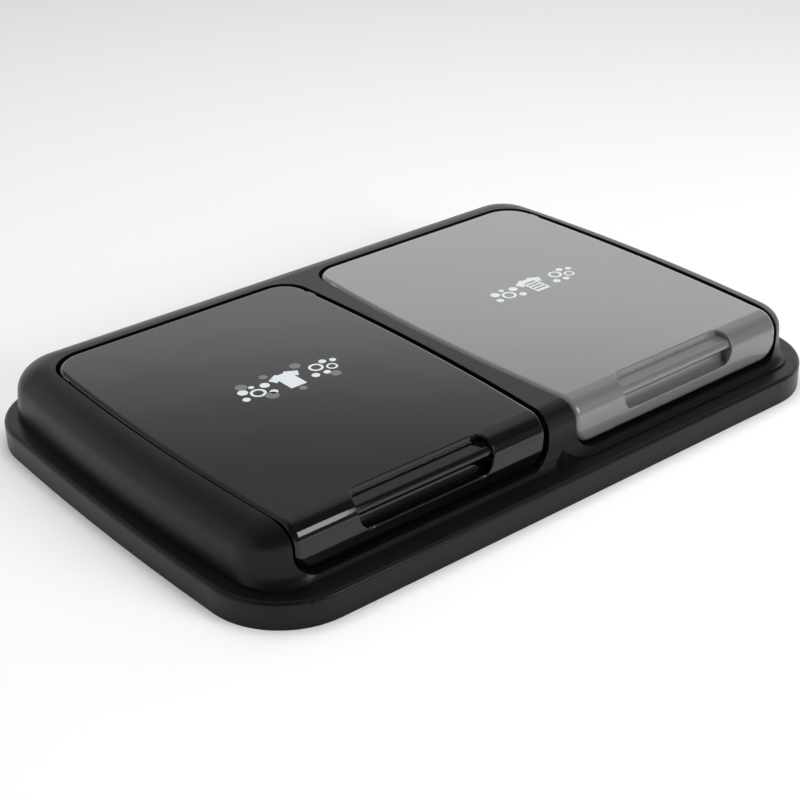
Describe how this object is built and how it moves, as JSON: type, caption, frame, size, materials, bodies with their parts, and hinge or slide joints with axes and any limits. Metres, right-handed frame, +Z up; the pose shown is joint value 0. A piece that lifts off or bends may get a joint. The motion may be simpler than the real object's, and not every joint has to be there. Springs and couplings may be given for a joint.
{
  "type": "laundry hamper lid",
  "caption": "Rectangular lid for a two-compartment laundry sorting hamper, a moulded frame with rear-hinged flaps that each have a finger grip at the front.",
  "frame": {"origin": "middle of the skirt's lower edge, on the level that the lid rests on", "axes": "+X along the long front to the right as seen from the grips, +Y from the grips to the hinges, +Z up"},
  "size_m": [0.5938, 0.403, 0.0663],
  "materials": {
    "charcoal_plastic": "matt, fine moulded grain",
    "black_plastic": "gloss",
    "silver_plastic": "satin silver lacquer",
    "pin_steel": "bright zinc",
    "pad_rubber": "matt"
  },
  "bodies": {
    "frame": {"lid_frame": "charcoal_plastic", "right_outer_hinge_pin": "pin_steel", "right_inner_hinge_pin": "pin_steel", "left_outer_hinge_pin": "pin_steel", "left_inner_hinge_pin": "pin_steel", "right_outer_pad": "pad_rubber", "right_inner_pad": "pad_rubber", "left_outer_pad": "pad_rubber", "left_inner_pad": "pad_rubber"},
    "left_flap": {"left_flap": "black_plastic"},
    "right_flap": {"right_flap": "silver_plastic"}
  },
  "joints": [
    {"name": "left_flap_hinge", "type": "hinge", "parent": "frame", "child": "left_flap", "pos_m": [-0.1319, 0.118, 0.0583], "axis": [-1, 0, 0], "range_deg": [0, 95]},
    {"name": "right_flap_hinge", "type": "hinge", "parent": "frame", "child": "right_flap", "pos_m": [0.1319, 0.118, 0.0583], "axis": [-1, 0, 0], "range_deg": [0, 95]}
  ]
}
